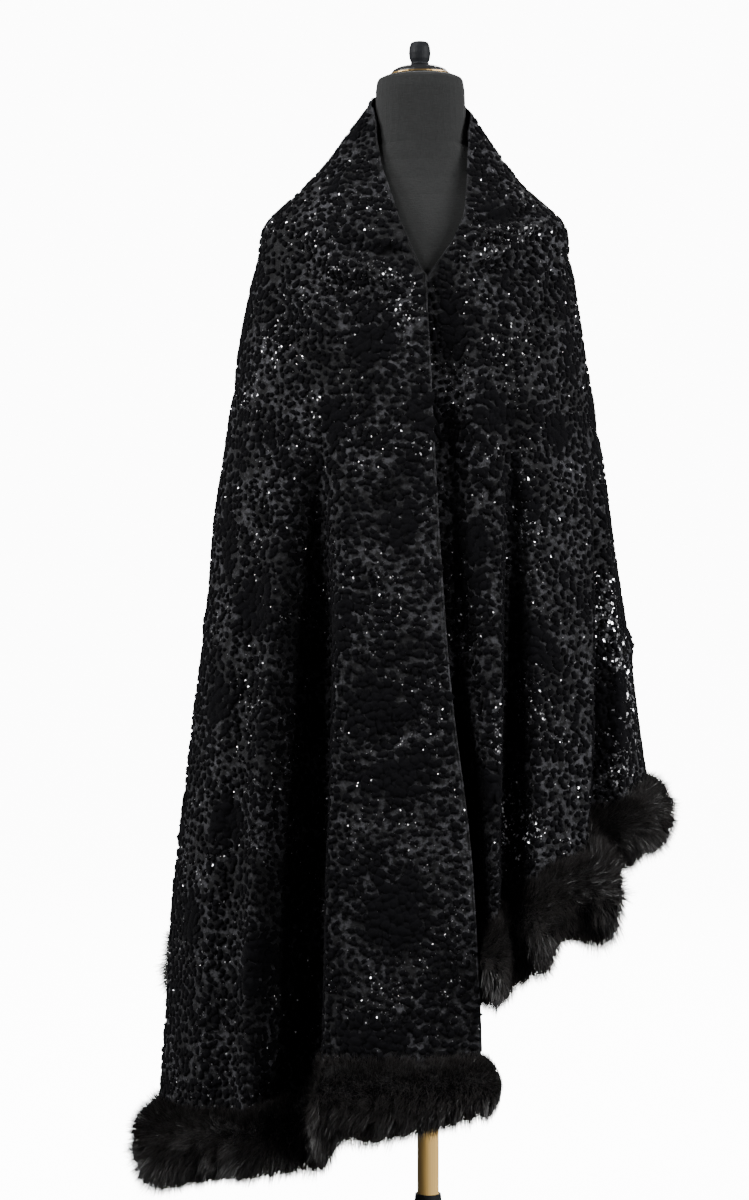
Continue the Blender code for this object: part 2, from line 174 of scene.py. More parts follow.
class Finish:
    """A material under the brush. Values that are the same all over go to its shader when it is made."""

    def __init__(self, name, **uniform):
        self.material = bpy.data.materials.new(name)
        self.material.use_nodes = True
        self.tree = self.material.node_tree
        self.shader = self.tree.nodes["Principled BSDF"]
        for socket, value in uniform.items():
            self.shader.inputs[socket.replace("_", " ")].default_value = value

    def node(self, kind, settings=None, inputs=None, output=0):
        """Any node: its settings are set first, then the values or wires of its sockets."""
        made = self.tree.nodes.new(kind)
        for setting, value in (settings or {}).items():
            if setting == "stops":
                self.set_stops(made.color_ramp, value)
            else:
                setattr(made, setting, value)
        for socket, value in (inputs or {}).items():
            self.put(made.inputs[socket], value)
        return Wire(self, made.outputs[output])

    def put(self, socket, value):
        if isinstance(value, Wire):
            self.tree.links.new(value.socket, socket)
        else:
            socket.default_value = value

    @staticmethod
    def set_stops(ramp, stops):
        while len(ramp.elements) < len(stops):
            ramp.elements.new(1.0)
        for element, (place, grey) in zip(ramp.elements, stops):
            element.position = place
            element.color = (grey, grey, grey, 1.0)

    def place(self):
        """The point on the object, in metres."""
        return self.node("ShaderNodeTexCoord", output="Object")

    def noise(self, scale, detail=3.0, roughness=0.55, at=None):
        inputs = {"Vector": at or self.place(), "Scale": scale, "Detail": detail, "Roughness": roughness}
        return self.node("ShaderNodeTexNoise", inputs=inputs)

    def ramp(self, value, stops):
        return self.node("ShaderNodeValToRGB", {"stops": stops}, {"Fac": value})

    def stretched(self, scale):
        """The point on the object with each axis scaled, for threads and grain."""
        inputs = {"Vector": self.place(), "Scale": scale}
        return self.node("ShaderNodeMapping", {"vector_type": "POINT"}, inputs)

    def blend(self, share, first, second):
        """A colour between two others."""
        inputs = {0: share, 6: self.opaque(first), 7: self.opaque(second)}
        return self.node("ShaderNodeMix", {"data_type": "RGBA"}, inputs, output=2)

    @staticmethod
    def opaque(colour):
        return colour if isinstance(colour, Wire) else (*colour, 1.0)

    def colour(self, wire):
        self.put(self.shader.inputs["Base Color"], wire)

    def roughness(self, wire):
        self.put(self.shader.inputs["Roughness"], wire)

    def bump(self, height, metres):
        """A surface that stands up by the given distance where height is 1."""
        inputs = {"Height": height, "Distance": metres, "Strength": 1.0}
        self.put(self.shader.inputs["Normal"], self.node("ShaderNodeBump", inputs=inputs))


print("a finish is written as sums of wires")

# %% Floor finish
FLOOR_GREY = 0.86

paper = Finish("floor_paper", Roughness=0.9, Emission_Strength=SEEN_WHITE)
paper.put(paper.shader.inputs["Emission Color"], (1.0, 1.0, 1.0, 1.0))
paper.colour(paper.blend(paper.noise(0.6), (FLOOR_GREY,) * 3, (FLOOR_GREY + 0.02,) * 3))
floor_mesh.materials.append(paper.material)
floor.visible_diffuse = False
floor.visible_glossy = False

# %% [markdown]
# ## The cape's measures
#
# The cape is measured as a tailor would measure it on the form: how far it stands out on each of
# four sides at a row of heights, where its folds lie, how deep they are, and where its edges run.
# The solid's own measures are repeated here, because the pile, the fur and the edges must all lie
# on the same surface. An azimuth is a place round the body in degrees: 0 is the front, 90 the
# wearer's right, 180 the back and 270 the wearer's left. The over half runs from 0 to 180 and the
# under half from 180 to 373, behind the over edge.

# %% How far the cape stands out
SECTIONS = table(
    "height right left front back",
    (1.51, 0.07, 0.0525, 0.05, 0.0596),
    (1.489, 0.071, 0.053, 0.045, 0.0605),
    (1.47, 0.083, 0.055, 0.042, 0.066),
    (1.45, 0.0985, 0.068, 0.044, 0.076),
    (1.412, 0.124, 0.095, 0.062, 0.092),
    (1.374, 0.159, 0.124, 0.08, 0.11),
    (1.345, 0.192, 0.16, 0.094, 0.121),
    (1.329, 0.21, 0.1765, 0.103, 0.128),
    (1.297, 0.217, 0.1805, 0.116, 0.134),
    (1.24, 0.228, 0.188, 0.13, 0.138),
    (1.105, 0.251, 0.21, 0.15, 0.148),
    (0.95, 0.274, 0.233, 0.168, 0.162),
    (0.80, 0.29, 0.254, 0.186, 0.18),
    (0.64, 0.311, 0.2775, 0.204, 0.20),
    (0.49, 0.327, 0.298, 0.219, 0.217),
    (0.20, 0.344, 0.325, 0.238, 0.24),
)

# %% Folds: azimuths and half width in degrees, depth and lean in metres at the hem
FOLDS = table(
    "azimuth_top azimuth_hem half_width depth starts full lean",
    (51.0, 49.0, 8.0, 0.012, 1.20, 0.60, 0.00),
    (32.4, 32.0, 10.2, 0.092, 1.12, 0.50, -0.012),
    (93.0, 95.0, 14.0, 0.066, 1.00, 0.40, 0.00),
    (132.0, 132.0, 13.5, 0.048, 1.26, 0.50, 0.008),
    (163.0, 162.0, 12.5, 0.052, 1.32, 0.55, 0.00),
    (196.0, 196.0, 12.0, 0.046, 1.32, 0.55, -0.006),
    (228.0, 228.0, 12.0, 0.044, 1.26, 0.55, 0.00),
    (257.0, 257.0, 9.5, 0.038, 1.05, 0.60, 0.00),
    (289.0, 319.5, 7.4, 0.05, 1.12, 0.60, 0.004),
    (332.5, 341.0, 5.4, 0.052, 1.18, 0.60, 0.00),
)
print(len(FOLDS), "folds, the deepest", max(fold.depth for fold in FOLDS), "m")

# %% Edges: the neckline, the over edge's swing, and the hem with half the height of its fur
NECKLINE = table(
    "azimuth height",
    (0.0, 1.247),
    (4.2, 1.28),
    (7.6, 1.309),
    (13.7, 1.349),
    (20.2, 1.376),
    (32.3, 1.418),
    (44.0, 1.454),
    (62.0, 1.474),
    (85.0, 1.488),
    (120.0, 1.499),
    (180.0, 1.504),
    (240.0, 1.49),
    (266.0, 1.472),
    (290.0, 1.467),
    (314.4, 1.445),
    (330.3, 1.405),
    (342.5, 1.35),
    (349.9, 1.297),
    (361.5, 1.247),
    (376.0, 1.185),
)
OVER_EDGE = table("azimuth height", (-10.9, 0.34), (-9.3, 0.56), (-5.0, 0.74), (-2.3, 0.93), (1.5, 1.25))
OVER_EDGE_REACH = 20.0
UNDER_EDGE = 373.0

HEM = table(
    "azimuth height fur",
    (-12.0, 0.309, 0.035),
    (8.0, 0.306, 0.046),
    (27.0, 0.304, 0.052),
    (36.0, 0.25, 0.048),
    (44.0, 0.23, 0.047),
    (66.0, 0.228, 0.05),
    (80.0, 0.224, 0.06),
    (88.0, 0.246, 0.055),
    (98.0, 0.345, 0.048),
    (107.0, 0.455, 0.046),
    (114.0, 0.484, 0.05),
    (135.0, 0.52, 0.052),
    (180.0, 0.56, 0.052),
    (230.0, 0.595, 0.052),
    (266.0, 0.633, 0.05),
    (284.0, 0.63, 0.048),
    (301.0, 0.62, 0.048),
    (308.0, 0.597, 0.05),
    (314.0, 0.562, 0.054),
    (320.0, 0.548, 0.058),
    (331.0, 0.542, 0.057),
    (339.0, 0.505, 0.057),
    (347.0, 0.465, 0.05),
    (354.0, 0.452, 0.044),
    (376.0, 0.448, 0.044),
)

TUCKS = table("height depth", (0.45, 0.076), (0.80, 0.036), (1.10, 0.02), (1.28, 0.009))
TUCK_FROM, TUCK_TO = 344.0, 353.0

# %% Reading a table softly, over a spread in metres of height or in degrees round the body
HEIGHT_SPREAD = 0.012
SWING_SPREAD = 0.05
HEM_SPREAD = 3.0
NECK_SPREAD = 2.0


def read_soft(rows, key, value, at, spread):
    """One column of a table along another, averaged over a short stretch so that it turns smoothly."""
    places, values = zip(*sorted((getattr(row, key), getattr(row, value)) for row in rows))
    offsets = np.linspace(-spread, spread, 7)
    return np.mean([np.interp(at + offset, places, values) for offset in offsets], axis=0)


def ease(start, end, at):
    """0 before start and 1 after end, with a smooth climb between."""
    share = np.clip((at - start) / (end - start), 0.0, 1.0)
    return share * share * (3.0 - 2.0 * share)


def side_at(side, height):
    return read_soft(SECTIONS, "height", side, height, HEIGHT_SPREAD)


def hem_height(girth):
    return read_soft(HEM, "azimuth", "height", girth, HEM_SPREAD)


def neck_height(girth):
    return read_soft(NECKLINE, "azimuth", "height", girth, NECK_SPREAD)


print("hem from", float(hem_height(np.array(70.0))), "to", float(hem_height(np.array(270.0))), "m up")

# %% [markdown]
# ## Creases
#
# Big folds come from the weight of the cloth, and small creases from where it is caught: it drags
# from the tips of the shoulders, slackens in hollows, and keeps a few soft breaks from being folded
# away. They could come from a cloth simulation, but then they would fall by chance. Placed one by
# one, a row each, they lie where the real ones do. Each is a soft trough, or a ridge where its
# depth is less than 0, uneven along its length. The sides and the back have their like.

# %% Creases: from one place to another, with half width and depth in metres
CREASES = table(
    "azimuth height to_azimuth to_height half_width depth",
    # the mouth of the deep recess, where the cloth first turns in
    (31.5, 1.06, 32.5, 0.64, 0.022, 0.018),
    # across the wearer's left shoulder
    (347.0, 1.303, 300.0, 1.322, 0.008, -0.008),
    (347.0, 1.318, 300.0, 1.34, 0.008, 0.007),
    (347.0, 1.272, 314.0, 1.304, 0.008, -0.008),
    (345.0, 1.29, 306.0, 1.306, 0.008, 0.007),
    (342.0, 1.258, 308.0, 1.278, 0.009, 0.006),
    (336.0, 1.22, 300.0, 1.30, 0.012, 0.0056),
    (326.0, 1.15, 297.0, 1.30, 0.014, 0.0064),
    # across the right chest, and down from the right shoulder
    (8.0, 1.262, 30.0, 1.30, 0.011, 0.008),
    (6.0, 1.24, 34.0, 1.262, 0.011, -0.0064),
    (12.0, 1.205, 38.0, 1.248, 0.013, 0.0064),
    (20.0, 1.18, 58.0, 1.325, 0.012, 0.0064),
    (34.0, 1.10, 62.0, 1.29, 0.014, 0.0072),
    (26.0, 1.33, 48.0, 1.395, 0.01, -0.0048),
    # soft breaks down the front
    (2.0, 1.01, 16.0, 0.96, 0.014, 0.0056),
    (4.0, 0.86, 18.0, 0.90, 0.013, -0.0048),
    (0.0, 0.70, 14.0, 0.66, 0.015, 0.0056),
    (6.0, 0.54, 20.0, 0.58, 0.013, -0.0048),
    (44.0, 0.94, 60.0, 0.90, 0.014, 0.0048),
    (46.0, 0.64, 62.0, 0.69, 0.014, -0.0048),
    (350.0, 1.00, 336.0, 0.96, 0.012, 0.0056),
    (352.0, 0.86, 346.0, 0.64, 0.008, -0.008),
    (322.0, 0.98, 306.0, 0.93, 0.012, 0.0048),
    (300.0, 0.90, 284.0, 0.94, 0.014, 0.0056),
    # the arms' sides
    (70.0, 1.33, 100.0, 1.24, 0.014, 0.0064),
    (76.0, 1.14, 104.0, 1.06, 0.015, 0.0064),
    (80.0, 0.82, 108.0, 0.88, 0.014, -0.0056),
    (262.0, 1.32, 288.0, 1.25, 0.013, 0.0064),
    (252.0, 1.12, 280.0, 1.05, 0.014, 0.0064),
    (264.0, 0.80, 286.0, 0.76, 0.013, -0.0056),
    # the back
    (120.0, 1.40, 150.0, 1.28, 0.014, 0.0072),
    (130.0, 1.44, 168.0, 1.38, 0.012, -0.0056),
    (196.0, 1.385, 236.0, 1.40, 0.013, 0.0064),
    (206.0, 1.29, 244.0, 1.34, 0.013, 0.0064),
    (140.0, 1.02, 158.0, 0.96, 0.014, 0.0056),
    (204.0, 0.98, 222.0, 1.03, 0.014, -0.0056),
    (146.0, 0.74, 158.0, 0.70, 0.013, 0.0048),
    (208.0, 0.76, 222.0, 0.72, 0.013, 0.0056),
)


def crease_depth(azimuth, height):
    """How far the creases press the cloth in, in metres."""
    reach = side_at("right", height)
    total = np.zeros_like(reach)
    for crease in CREASES:
        across = np.radians(azimuth - crease.azimuth) * reach
        up = height - crease.height
        run = np.radians(crease.to_azimuth - crease.azimuth) * reach
        rise = crease.to_height - crease.height
        length = np.hypot(run, rise)
        along = (across * run + up * rise) / length**2
        aside = (across * rise - up * run) / length / crease.half_width
        bowed = aside + 0.5 * np.sin(3.1 * along + crease.azimuth)
        uneven = 1.0 + 0.35 * np.sin(7.0 * along + crease.height * 40.0)
        ends = ease(-0.1, 0.25, along) * (1.0 - ease(0.7, 1.1, along))
        total += crease.depth * uneven * ends * np.exp(-(bowed**2))
    return total


print(len(CREASES), "creases")

# %% The cape's surface
SWAY_DEPTH = 0.0016
OVAL_DRIFT = (0.25, 1.15)
STEP_ROUND, STEP_UP = 0.4, 0.002


def cape_surface(azimuth, height):
    """Points of the cape's outer face, from azimuths in degrees and heights in metres."""
    azimuth, height = np.broadcast_arrays(np.asarray(azimuth, float), np.asarray(height, float))
    sine, cosine = np.sin(np.radians(azimuth)), np.cos(np.radians(azimuth))
    right, left, front, back = (side_at(side, height) for side in ("right", "left", "front", "back"))
    across = np.where(sine > 0.0, right, left)
    along = np.where(cosine > 0.0, front, back)
    x, y = -across * sine, -along * cosine
    out_x, out_y = x / across**2, y / along**2
    length = np.hypot(out_x, out_y)
    out_x, out_y = out_x / length, out_y / length

    slide = np.zeros_like(x)
    depth = crease_depth(azimuth, height)
    depth += SWAY_DEPTH * np.sin(azimuth * 0.19 + 9.0 * height) * np.sin(azimuth * 0.07 - 17.0 * height)
    for fold in FOLDS:
        grown = 1.0 - ease(fold.full, fold.starts, height)
        drift = ease(*OVAL_DRIFT, height)
        centre = fold.azimuth_hem + (fold.azimuth_top - fold.azimuth_hem) * drift
        pressed = grown * (1.0 - ease(0.12, 1.0, np.abs((azimuth - centre) / fold.half_width)))
        depth += fold.depth * pressed
        slide += fold.lean * pressed
    depth += read_soft(TUCKS, "height", "depth", height, HEIGHT_SPREAD) * ease(TUCK_FROM, TUCK_TO, azimuth)
    x = x - out_x * depth + out_y * slide
    y = y - out_y * depth - out_x * slide
    return np.stack([x, y, height], axis=-1)


def swung(girth, height):
    """The azimuth at some height of the thread that girth names, as the over edge swings across."""
    edge = read_soft(OVER_EDGE, "height", "azimuth", height, SWING_SPREAD)
    return girth + edge * (1.0 - ease(0.0, OVER_EDGE_REACH, girth))


def cloth_at(girth, height):
    """Points of the cloth, and its unit directions round the body, up the cloth and outward."""
    girth, height = np.broadcast_arrays(np.asarray(girth, float), np.asarray(height, float))

    def near(ahead=0.0, above=0.0):
        return cape_surface(swung(girth + ahead, height + above), height + above)

    around = unit(near(ahead=STEP_ROUND) - near(ahead=-STEP_ROUND))
    out = unit(np.cross(near(above=STEP_UP) - near(above=-STEP_UP), around))
    return near(), around, np.cross(around, out), out


def unit(vectors):
    return vectors / np.linalg.norm(vectors, axis=-1, keepdims=True)


def walk(points):
    """How far along a line of points each one lies."""
    return np.concatenate([[0.0], np.cumsum(np.linalg.norm(np.diff(points, axis=0), axis=1))])


print("outward at the front and back:", cloth_at([10.0, 180.0], [0.9, 0.9])[3].round(2).tolist())

# %% [markdown]
# ## The ground cloth
#
# The thin ground is what is left where the pile was burnt away. It is made as a real wall of cloth:
# a fine grid of points on the surface, a second grid under it, and a rim that joins the two. Each
# half is one piece, sewn at the centre back. The cut is taken from the cloth itself, because a
# draped cloth keeps the area that it was cut with.

# %% Meshes from arrays


def mesh_piece(name, points, faces, finish):
    """A piece from an array of points and a list of arrays of faces, one array for each face size."""
    mesh = bpy.data.meshes.new(name)
    sizes = np.concatenate([np.full(len(group), group.shape[1]) for group in faces])
    corners = np.concatenate([group.ravel() for group in faces])
    mesh.vertices.add(len(points))
    mesh.vertices.foreach_set("co", np.asarray(points, np.float32).ravel())
    mesh.loops.add(len(corners))
    mesh.loops.foreach_set("vertex_index", corners.astype(np.int32))
    mesh.polygons.add(len(sizes))
    mesh.polygons.foreach_set("loop_start", (np.cumsum(sizes) - sizes).astype(np.int32))
    mesh.update(calc_edges=True)
    mesh.shade_smooth()
    mesh.materials.append(finish.material)
    piece = bpy.data.objects.new(name, mesh)
    bpy.context.scene.collection.objects.link(piece)
    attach(piece, "root")
    print(name, int((sizes - 2).sum()), "triangles")
    return piece


def grid_faces(rows, columns, first=0):
    """The four-cornered faces of a grid whose points are numbered row by row."""
    index = np.arange(rows * columns).reshape(rows, columns) + first
    corners = (index[:-1, :-1], index[1:, :-1], index[1:, 1:], index[:-1, 1:])
    return np.stack([corner.ravel() for corner in corners], axis=1)


def tube_faces(rings, sides):
    """The faces of a row of rings that are joined up into a tube and closed at both ends."""
    index = np.arange(rings * sides).reshape(rings, sides)
    index = np.concatenate([index, index[:, :1]], axis=1)
    corners = (index[:-1, :-1], index[:-1, 1:], index[1:, 1:], index[1:, :-1])
    ends = np.stack([index[0, :-1][::-1], index[-1, :-1]])
    return [np.stack([corner.ravel() for corner in corners], axis=1), ends]


# %% Velvet finishes
ground = Finish("velvet_ground", Sheen_Weight=0.03, Sheen_Roughness=0.4, Specular_IOR_Level=0.16)
bare = ground.ramp(ground.noise(150.0, detail=5.0, roughness=0.65), ((0.45, 0.0), (0.60, 1.0)))
worn = ground.ramp(ground.noise(13.0, detail=2.0), ((0.36, 0.18), (0.62, 1.0)))
shows = bare * worn
ground.colour(ground.blend(shows, (0.0034, 0.0034, 0.0039), (0.054, 0.054, 0.061)))
ground.roughness(0.66 - 0.40 * shows)
ground.bump(ground.noise(520.0, detail=3.0) + 0.5 * ground.noise(1400.0, detail=2.0), 0.0016)

pile = Finish("velvet_pile", Sheen_Weight=0.02, Sheen_Roughness=0.35, Specular_IOR_Level=0.05)
shade = pile.noise(60.0, detail=4.0)
pile.colour(pile.blend(shade, (0.0012, 0.0012, 0.0015), (0.0046, 0.0045, 0.0058)))
pile.roughness(0.7 + 0.25 * shade)
pile.bump(pile.noise(900.0, detail=4.0), 0.0016)

# %% The two halves
HALVES = table(
    "name node first last cut area",
    ("ground_over_half", "cape_over_half", 0.0, 180.0, (1.35, 1.34), 0.89),
    ("ground_under_half", "cape_under_half", 180.0, UNDER_EDGE, (1.14, 0.99), 0.66),
)
COLUMNS = 160
YOKE_ROWS, SKIRT_ROWS = 30, 124
YOKE_FOOT = 1.285
GROUND_DEPTH = 0.6 * MM
WALL = 1.2 * MM
INTO_FUR = 0.022


def even_girths(first, last, count):
    """Girths from first to last, spaced evenly along the cloth a little above the hem."""
    fine = np.linspace(first, last, 3000)
    height = hem_height(fine) + 0.10
    points = cape_surface(swung(fine, height), height)
    walked = walk(points[:, :2])
    return np.interp(np.linspace(0.0, walked[-1], count + 1), walked, fine)


def cloth_grid(half):
    """Girths and heights of a half's points, in rows from the neckline to the hem."""
    girth = even_girths(half.first, half.last, COLUMNS)
    top, bottom = neck_height(girth), hem_height(girth) - INTO_FUR
    foot = np.minimum(YOKE_FOOT, top - 0.02)
    yoke = np.linspace(0.0, 1.0, YOKE_ROWS + 1)[:-1, None]
    skirt = np.linspace(0.0, 1.0, SKIRT_ROWS + 1)[:, None]
    height = np.vstack([top + (foot - top) * yoke, foot + (bottom - foot) * skirt])
    return np.broadcast_to(girth, height.shape), height


def rim_faces(rows, columns):
    """The faces that join a grid to the copy of it that follows it, all round."""
    index = np.arange(rows * columns).reshape(rows, columns)
    border = np.concatenate([index[0, :-1], index[:-1, -1], index[-1, :0:-1], index[:0:-1, 0]])
    following = np.roll(border, -1)
    return np.stack([border, following, following + rows * columns, border + rows * columns], axis=1)


def sheet_area(points):
    """The area of a grid of points, in square metres."""
    down, across = np.diff(points, axis=0)[:, :-1], np.diff(points, axis=1)[:-1]
    return np.linalg.norm(np.cross(down, across), axis=-1).sum()


for half in HALVES:
    girth, height = cloth_grid(half)
    points, _, _, out = cloth_at(girth, height)
    outer = points - out * GROUND_DEPTH
    inner = outer - out * WALL
    rows, columns = height.shape
    faces = [
        grid_faces(rows, columns),
        grid_faces(rows, columns, rows * columns)[:, ::-1],
        rim_faces(rows, columns),
    ]
    both = np.concatenate([outer.reshape(-1, 3), inner.reshape(-1, 3)])
    piece = mesh_piece(half.name, both, faces, ground)
    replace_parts(piece, half.node)
    falls = np.linalg.norm(np.diff(outer, axis=0), axis=-1).sum(axis=0)
    hem = np.linalg.norm(np.diff(outer[-1], axis=0), axis=-1).sum()
    print("  area", round(sheet_area(outer), 3), "hem", round(hem, 3), "longest fall", round(falls.max(), 3))

# %% [markdown]
# ## The pile
#
# Each spot of pile is a low pad of cut silk that stands on the ground. A picture of spots, or a bump,
# would keep the cape's outline smooth, and the real one is knobbly. So every spot is a small domed
# mesh of its own, and all of them are joined into a few pieces. They are set out in rows along the
# cloth, then nudged, so they are evenly close without lining up. Where the pattern has a solid
# blotch the pads are larger and run together.

# %% Even noise over the cloth
NOISE_GRID = np.random.default_rng(11).random((64, 64))


def cloth_noise(across, up, size):
    """A soft random value from 0 to 1 at each place, with lumps about size metres apart."""
    u, v = across / size, up / size
    column, row = np.floor(u).astype(int), np.floor(v).astype(int)
    s, t = ease(0.0, 1.0, u - column), ease(0.0, 1.0, v - row)
    value = [[NOISE_GRID[(row + j) % 64, (column + i) % 64] for i in (0, 1)] for j in (0, 1)]
    return (value[0][0] * (1 - s) + value[0][1] * s) * (1 - t) + (value[1][0] * (1 - s) + value[1][1] * s) * t


# %% Setting out the spots
LEVEL = 1.10
CLOTH_TOP, CLOTH_FOOT = 1.51, 0.20
FINE_COLUMNS, FINE_ROWS, COARSE_STEP = 1100, 300, 10
WAVE_SIZE, WAVE = 0.034, 1.8
BELOW_NECK, INTO_HEM = 0.004, 0.012
FROM_SEAM = 0.3


def set_out(first, last, pitch, row_pitch, nudge, seed):
    """Girths and heights of places set evenly over the cloth, with each one's distance round and up."""
    random = np.random.default_rng(seed)
    girths = even_girths(first, last, FINE_COLUMNS)
    heights = np.linspace(CLOTH_TOP, CLOTH_FOOT, FINE_ROWS)
    points = cape_surface(swung(girths[None, :], heights[:, None]), heights[:, None])
    climb = np.linalg.norm(np.diff(points, axis=0), axis=-1)
    up = -np.concatenate([np.zeros((1, len(girths))), np.cumsum(climb, axis=0)])
    level_row = np.searchsorted(-heights, -LEVEL)
    up -= up[level_row]
    found = []
    for row, level in enumerate(np.arange(up.min(), up.max(), row_pitch)):
        coarse = range(0, len(girths), COARSE_STEP)
        height = np.array([np.interp(-level, -up[:, column], heights) for column in coarse])
        height = np.interp(girths, girths[::COARSE_STEP], height)
        walked = walk(cape_surface(swung(girths, height), height))
        places = np.arange(pitch * 0.5 * (row % 2), walked[-1], pitch)
        places = places + random.uniform(-nudge, nudge, len(places)) * pitch
        girth = np.interp(places, walked, girths)
        wave = cloth_noise(places, np.full(len(places), level), WAVE_SIZE) - 0.5
        shift = (random.uniform(-nudge, nudge, len(places)) + WAVE * wave) * row_pitch
        slope = np.interp(girth, girths, np.abs(np.gradient(heights)[0] / climb.mean(axis=0)))
        place_height = np.interp(girth, girths, height) + shift * slope
        keep = (girth > first + FROM_SEAM) & (girth < last - FROM_SEAM)
        keep &= place_height < neck_height(girth) - BELOW_NECK
        keep &= place_height > hem_height(girth) - INTO_HEM
        found.append(np.stack([girth, place_height, places, np.full(len(places), level)], axis=1)[keep])
    return np.concatenate(found)


# %% Blotches of solid pile: the place, and half the width and height in metres
BLOTCHES = table(
    "azimuth height half_width half_height",
    (17.5, 1.174, 0.038, 0.033),
    (351.6, 1.179, 0.02, 0.041),
    (2.1, 1.085, 0.02, 0.042),
    (338.2, 1.075, 0.029, 0.046),
    (8.7, 0.936, 0.026, 0.029),
    (347.9, 0.895, 0.031, 0.044),
    (299.3, 1.168, 0.017, 0.051),
    (312.0, 1.054, 0.023, 0.026),
    (66.1, 0.925, 0.023, 0.046),
    (332.4, 1.331, 0.028, 0.015),
    (12.5, 0.723, 0.038, 0.051),
    (6.2, 0.635, 0.036, 0.031),
    (326.4, 0.794, 0.028, 0.038),
    (298.5, 0.703, 0.031, 0.044),
    (7.2, 0.472, 0.038, 0.046),
    (53.5, 0.574, 0.026, 0.028),
    (64.7, 0.448, 0.02, 0.033),
    (60.0, 0.716, 0.023, 0.031),
    (12.2, 0.329, 0.044, 0.023),
    (343.9, 0.623, 0.026, 0.033),
    (41.6, 0.401, 0.02, 0.031),
    (50.1, 0.849, 0.026, 0.038),
    (328.3, 0.97, 0.018, 0.026),
    (23.7, 0.824, 0.023, 0.036),
    (44.1, 1.376, 0.018, 0.018),
    (28.2, 1.071, 0.018, 0.028),
    # round the sides and the back
    (84.0, 1.19, 0.03, 0.04),
    (96.0, 0.76, 0.026, 0.044),
    (82.0, 0.56, 0.03, 0.036),
    (104.0, 1.01, 0.028, 0.034),
    (112.0, 1.33, 0.03, 0.028),
    (120.0, 0.64, 0.032, 0.036),
    (126.0, 0.88, 0.026, 0.04),
    (136.0, 1.15, 0.036, 0.034),
    (146.0, 0.72, 0.03, 0.044),
    (152.0, 0.96, 0.024, 0.032),
    (158.0, 1.34, 0.034, 0.03),
    (170.0, 1.12, 0.028, 0.042),
    (174.0, 0.80, 0.034, 0.034),
    (184.0, 0.64, 0.026, 0.03),
    (188.0, 1.26, 0.032, 0.036),
    (198.0, 0.96, 0.03, 0.044),
    (210.0, 1.12, 0.026, 0.03),
    (212.0, 0.74, 0.032, 0.036),
    (224.0, 1.35, 0.03, 0.026),
    (230.0, 0.90, 0.028, 0.042),
    (240.0, 1.15, 0.034, 0.034),
    (246.0, 0.70, 0.028, 0.036),
    (258.0, 0.98, 0.026, 0.038),
    (266.0, 1.25, 0.028, 0.03),
    (272.0, 0.76, 0.026, 0.034),
    (280.0, 1.06, 0.024, 0.036),
)


BORDER_FROM, BORDER_TO, BORDER_RAGGED = 0.55, 1.25, 0.7


def in_blotch(girth, height, rough):
    """1 in the middle of a blotch and 0 outside it, with a soft ragged border."""
    inside = np.zeros(len(girth))
    for blotch in BLOTCHES:
        away = how_far(girth, height, blotch) - BORDER_RAGGED * (rough - 0.5)
        inside = np.maximum(inside, 1.0 - ease(BORDER_FROM, BORDER_TO, away))
    return inside


def how_far(girth, height, patch):
    """The distance from a patch's middle, where 1 is its border."""
    reach = side_at("right", height)
    across = np.radians(swung(girth, height) - patch.azimuth) * reach / patch.half_width
    return np.hypot(across, (height - patch.height) / patch.half_height)


print(len(BLOTCHES), "blotches")

# %% A spot of pile
SPOT_SIDES = 6
PITCH, ROW_PITCH, NUDGE = 0.0092, 0.0080, 0.46
PILE_STANDS = 1.7 * MM
PILE_SUNK = 0.5 * MM
# a spot's radius as a share of the pitch: the least, and what thin patches and blotches add to it
SPOT_LEAST, PATCH_ADDS, BLOTCH_ADDS = 0.385, 0.22, 0.38
# on crease ridges the spots shrink by this share, so that more of the pale ground shows there: a painted
# highlight along the ridges
RIDGE_HIGHLIGHT_TAKES = 0.45


def pads(name, first, last, seed):
    """All the spots of a stretch of cloth, as one piece."""
    random = np.random.default_rng(seed)
    girth, height, across, up = set_out(first, last, PITCH, ROW_PITCH, NUDGE, seed).T
    rough = cloth_noise(across, up, 0.016)
    solid = in_blotch(girth, height, rough)
    sparse = cloth_noise(across + 3.0, up, 0.045)
    # ridge is 1 on the crease ridges, where the pile is thinned for a painted highlight
    ridge = ease(0.002, 0.006, -crease_depth(swung(girth, height), height))
    size = PITCH * (SPOT_LEAST + PATCH_ADDS * sparse + BLOTCH_ADDS * solid)
    size = size * random.uniform(0.72, 1.24, len(girth)) * (1.0 - RIDGE_HIGHLIGHT_TAKES * ridge)
    points, around, rise, out = cloth_at(girth, height)

    turn = np.linspace(0.0, 2.0 * math.pi, SPOT_SIDES, endpoint=False)
    lean = random.uniform(0.0, math.pi, (len(girth), 1))
    ragged = random.uniform(0.70, 1.22, (len(girth), SPOT_SIDES))
    oval = 1.0 + 0.20 * np.cos(2.0 * (turn - lean))
    radius = size[:, None] * ragged * oval
    spread = around[:, None] * (radius * np.cos(turn))[..., None]
    spread = spread + rise[:, None] * (radius * np.sin(turn))[..., None]
    stands = PILE_STANDS * random.uniform(0.75, 1.2, len(girth))[:, None, None] * out[:, None]
    foot = points[:, None] + spread - out[:, None] * (GROUND_DEPTH + PILE_SUNK)
    shoulder = points[:, None] + spread * 0.80 + stands * 0.75
    crown = points[:, None] + stands
    rings = np.concatenate([foot, shoulder, crown], axis=1)
    count = 2 * SPOT_SIDES + 1
    step = np.arange(SPOT_SIDES)
    following = (step + 1) % SPOT_SIDES
    sides = np.stack([step, following, following + SPOT_SIDES, step + SPOT_SIDES], axis=1)
    top = np.stack([step + SPOT_SIDES, following + SPOT_SIDES, np.full(SPOT_SIDES, count - 1)], axis=1)
    starts = (np.arange(len(girth)) * count)[:, None, None]
    faces = [(sides[None] + starts).reshape(-1, 4), (top[None] + starts).reshape(-1, 3)]
    return mesh_piece(name, rings.reshape(-1, 3), faces, pile)


